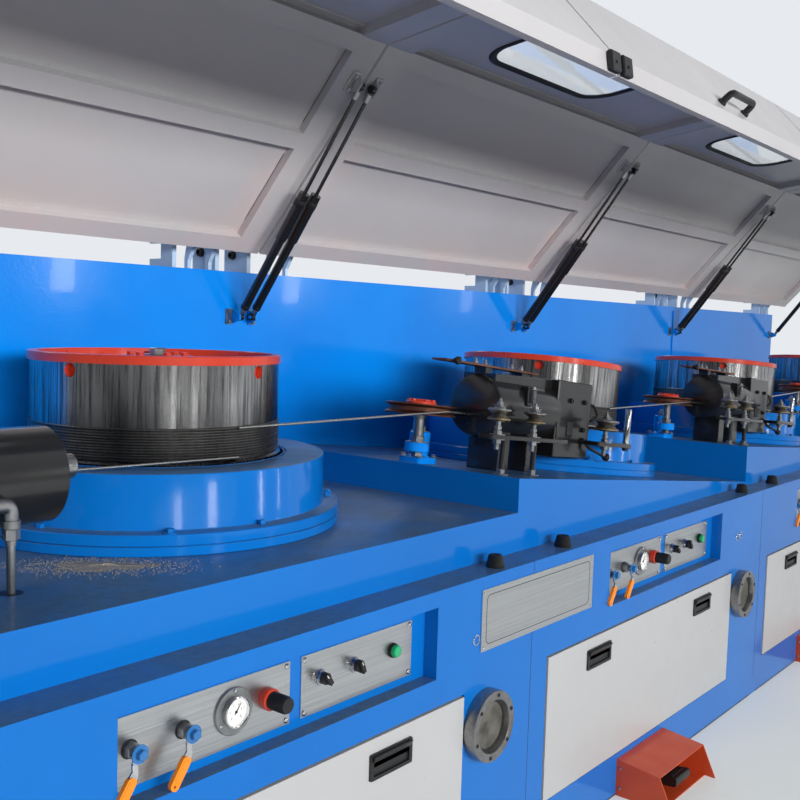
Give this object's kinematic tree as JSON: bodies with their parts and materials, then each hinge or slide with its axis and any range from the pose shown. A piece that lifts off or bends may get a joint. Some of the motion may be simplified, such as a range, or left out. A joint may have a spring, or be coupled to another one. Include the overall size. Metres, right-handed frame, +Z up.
{
  "type": "wire drawing machine",
  "caption": "Straight-line wire drawing machine: a row of upright drums in ring housings on one blue cabinet, with die boxes, guide wheels, hinged window hoods on gas struts and foot pedals.",
  "frame": {"origin": "on the floor, in the middle of the row from end to end and midway between the front face and the back of the wall", "axes": "+X along the row in the direction the wire runs, +Y towards the back wall, +Z up"},
  "size_m": [6, 1.2999, 2.048],
  "materials": {
    "blue_paint": "gloss",
    "light_blue_paint": "satin",
    "white_paint": "satin",
    "black_paint": "satin",
    "orange_paint": "gloss",
    "red_paint": "gloss",
    "dark_steel": "satin",
    "brushed": "brushed",
    "hard_steel": "polished",
    "chrome": "polished",
    "wheel_metal": "satin",
    "black_plastic": "matt",
    "green_lamp": "gloss",
    "rubber": "matt",
    "glass": "clear"
  },
  "bodies": {
    "cabinet": {"block_frame_1": "blue_paint", "block_frame_2": "blue_paint", "block_frame_3": "blue_paint", "block_frame_4": "blue_paint", "back_wall": "blue_paint", "hinge_brackets": "light_blue_paint", "strut_brackets": "brushed", "capstan_bases": "blue_paint", "access_doors": "white_paint", "door_handles": "black_plastic", "sight_ports": "brushed", "rubber_bumpers": "rubber", "face_plates": "brushed", "pressure_gauges": "chrome", "ball_valves": "chrome", "valve_levers": "orange_paint", "selector_switches": "black_plastic", "signal_lamps": "green_lamp", "air_regulators": "red_paint", "pedal_guards": "orange_paint", "arm_brackets": "blue_paint", "die_boxes": "black_paint", "line_rollers": "brushed", "roller_stands": "dark_steel", "drawn_wire": "brushed"},
    "hood_leaf_1": {"hood_1": "white_paint", "window_glass_1": "glass", "hood_fittings_1": "black_plastic"},
    "struts_1": {"strut_cylinders_1": "black_paint"},
    "rods_1": {"strut_rods_1": "chrome"},
    "drum_1": {"capstan_1": "hard_steel"},
    "treadle_1": {"pedal_1": "black_paint"},
    "hood_leaf_2": {"hood_2": "white_paint", "window_glass_2": "glass", "hood_fittings_2": "black_plastic"},
    "struts_2": {"strut_cylinders_2": "black_paint"},
    "rods_2": {"strut_rods_2": "chrome"},
    "drum_2": {"capstan_2": "hard_steel"},
    "arm_2": {"swing_arm_2": "blue_paint"},
    "wheel_2": {"guide_wheel_2": "wheel_metal"},
    "treadle_2": {"pedal_2": "black_paint"},
    "hood_leaf_3": {"hood_3": "white_paint", "window_glass_3": "glass", "hood_fittings_3": "black_plastic"},
    "struts_3": {"strut_cylinders_3": "black_paint"},
    "rods_3": {"strut_rods_3": "chrome"},
    "drum_3": {"capstan_3": "hard_steel"},
    "arm_3": {"swing_arm_3": "blue_paint"},
    "wheel_3": {"guide_wheel_3": "wheel_metal"},
    "treadle_3": {"pedal_3": "black_paint"},
    "hood_leaf_4": {"hood_4": "white_paint", "window_glass_4": "glass", "hood_fittings_4": "black_plastic"},
    "struts_4": {"strut_cylinders_4": "black_paint"},
    "rods_4": {"strut_rods_4": "chrome"},
    "drum_4": {"capstan_4": "hard_steel"},
    "arm_4": {"swing_arm_4": "blue_paint"},
    "wheel_4": {"guide_wheel_4": "wheel_metal"},
    "treadle_4": {"pedal_4": "black_paint"}
  },
  "joints": [
    {"name": "hood_hinge_1", "type": "hinge", "parent": "cabinet", "child": "hood_leaf_1", "pos_m": [-2.25, 0.447, 1.484], "axis": [1, 0, 0], "range_deg": [0, 51.2]},
    {"name": "strut_turn_1", "type": "hinge", "parent": "cabinet", "child": "struts_1", "pos_m": [-2.25, 0.438, 1.268], "axis": [1, 0, 0], "range_deg": [0, 43.4]},
    {"name": "strut_slide_1", "type": "slide", "parent": "struts_1", "child": "rods_1", "axis": [0, -0.5989, 0.8008], "range_m": [-0.1637, 0]},
    {"name": "drum_spin_1", "type": "hinge", "parent": "cabinet", "child": "drum_1", "pos_m": [-2.095, 0.057, 0.919], "axis": [0, 0, 1], "continuous": true},
    {"name": "pedal_press_1", "type": "hinge", "parent": "cabinet", "child": "treadle_1", "pos_m": [-2.389, -0.595, 0.027], "axis": [1, 0, 0], "range_deg": [0, 11], "stiffness_Nm_per_rad": 1.5, "springref_deg": -17.19},
    {"name": "hood_hinge_2", "type": "hinge", "parent": "cabinet", "child": "hood_leaf_2", "pos_m": [-0.75, 0.447, 1.484], "axis": [1, 0, 0], "range_deg": [0, 51.2]},
    {"name": "strut_turn_2", "type": "hinge", "parent": "cabinet", "child": "struts_2", "pos_m": [-0.75, 0.438, 1.268], "axis": [1, 0, 0], "range_deg": [0, 43.4]},
    {"name": "strut_slide_2", "type": "slide", "parent": "struts_2", "child": "rods_2", "axis": [0, -0.5989, 0.8008], "range_m": [-0.1637, 0]},
    {"name": "drum_spin_2", "type": "hinge", "parent": "cabinet", "child": "drum_2", "pos_m": [-0.5992, -0.002, 0.90911], "axis": [0.108, 0, 0.9942], "continuous": true},
    {"name": "arm_swing_2", "type": "hinge", "parent": "cabinet", "child": "arm_2", "pos_m": [-1.38414, -0.125, 0.95214], "axis": [0.108, 0, 0.9942], "range_deg": [-10, 0]},
    {"name": "wheel_spin_2", "type": "hinge", "parent": "arm_2", "child": "wheel_2", "pos_m": [-1.44963, -0.177, 1.04375], "axis": [0.108, 0, 0.9942], "continuous": true},
    {"name": "pedal_press_2", "type": "hinge", "parent": "cabinet", "child": "treadle_2", "pos_m": [-0.889, -0.595, 0.027], "axis": [1, 0, 0], "range_deg": [0, 11], "stiffness_Nm_per_rad": 1.5, "springref_deg": -17.19},
    {"name": "hood_hinge_3", "type": "hinge", "parent": "cabinet", "child": "hood_leaf_3", "pos_m": [0.75, 0.447, 1.484], "axis": [1, 0, 0], "range_deg": [0, 51.2]},
    {"name": "strut_turn_3", "type": "hinge", "parent": "cabinet", "child": "struts_3", "pos_m": [0.75, 0.438, 1.268], "axis": [1, 0, 0], "range_deg": [0, 43.4]},
    {"name": "strut_slide_3", "type": "slide", "parent": "struts_3", "child": "rods_3", "axis": [0, -0.5989, 0.8008], "range_m": [-0.1637, 0]},
    {"name": "drum_spin_3", "type": "hinge", "parent": "cabinet", "child": "drum_3", "pos_m": [0.89837, -0.002, 0.89307], "axis": [0.0837, 0, 0.9965], "continuous": true},
    {"name": "arm_swing_3", "type": "hinge", "parent": "cabinet", "child": "arm_3", "pos_m": [0.11261, -0.125, 0.9169], "axis": [0.0837, 0, 0.9965], "range_deg": [-10, 0]},
    {"name": "wheel_spin_3", "type": "hinge", "parent": "arm_3", "child": "wheel_3", "pos_m": [0.0449, -0.177, 1.00689], "axis": [0.0837, 0, 0.9965], "continuous": true},
    {"name": "pedal_press_3", "type": "hinge", "parent": "cabinet", "child": "treadle_3", "pos_m": [0.611, -0.595, 0.027], "axis": [1, 0, 0], "range_deg": [0, 11], "stiffness_Nm_per_rad": 1.5, "springref_deg": -17.19},
    {"name": "hood_hinge_4", "type": "hinge", "parent": "cabinet", "child": "hood_leaf_4", "pos_m": [2.25, 0.447, 1.484], "axis": [1, 0, 0], "range_deg": [0, 51.2]},
    {"name": "strut_turn_4", "type": "hinge", "parent": "cabinet", "child": "struts_4", "pos_m": [2.25, 0.438, 1.268], "axis": [1, 0, 0], "range_deg": [0, 43.4]},
    {"name": "strut_slide_4", "type": "slide", "parent": "struts_4", "child": "rods_4", "axis": [0, -0.5989, 0.8008], "range_m": [-0.1637, 0]},
    {"name": "drum_spin_4", "type": "hinge", "parent": "cabinet", "child": "drum_4", "pos_m": [2.39837, -0.002, 0.89307], "axis": [0.0837, 0, 0.9965], "continuous": true},
    {"name": "arm_swing_4", "type": "hinge", "parent": "cabinet", "child": "arm_4", "pos_m": [1.61261, -0.125, 0.9169], "axis": [0.0837, 0, 0.9965], "range_deg": [-10, 0]},
    {"name": "wheel_spin_4", "type": "hinge", "parent": "arm_4", "child": "wheel_4", "pos_m": [1.5449, -0.177, 1.00689], "axis": [0.0837, 0, 0.9965], "continuous": true},
    {"name": "pedal_press_4", "type": "hinge", "parent": "cabinet", "child": "treadle_4", "pos_m": [2.111, -0.595, 0.027], "axis": [1, 0, 0], "range_deg": [0, 11], "stiffness_Nm_per_rad": 1.5, "springref_deg": -17.19}
  ],
  "couplings": [
    {"joint": "strut_turn_1", "follows": "hood_hinge_1", "ratio": 0.84578},
    {"joint": "strut_slide_1", "follows": "hood_hinge_1", "m_per_rad": -0.18299},
    {"joint": "strut_turn_2", "follows": "hood_hinge_2", "ratio": 0.84578},
    {"joint": "strut_slide_2", "follows": "hood_hinge_2", "m_per_rad": -0.18299},
    {"joint": "strut_turn_3", "follows": "hood_hinge_3", "ratio": 0.84578},
    {"joint": "strut_slide_3", "follows": "hood_hinge_3", "m_per_rad": -0.18299},
    {"joint": "strut_turn_4", "follows": "hood_hinge_4", "ratio": 0.84578},
    {"joint": "strut_slide_4", "follows": "hood_hinge_4", "m_per_rad": -0.18299}
  ]
}
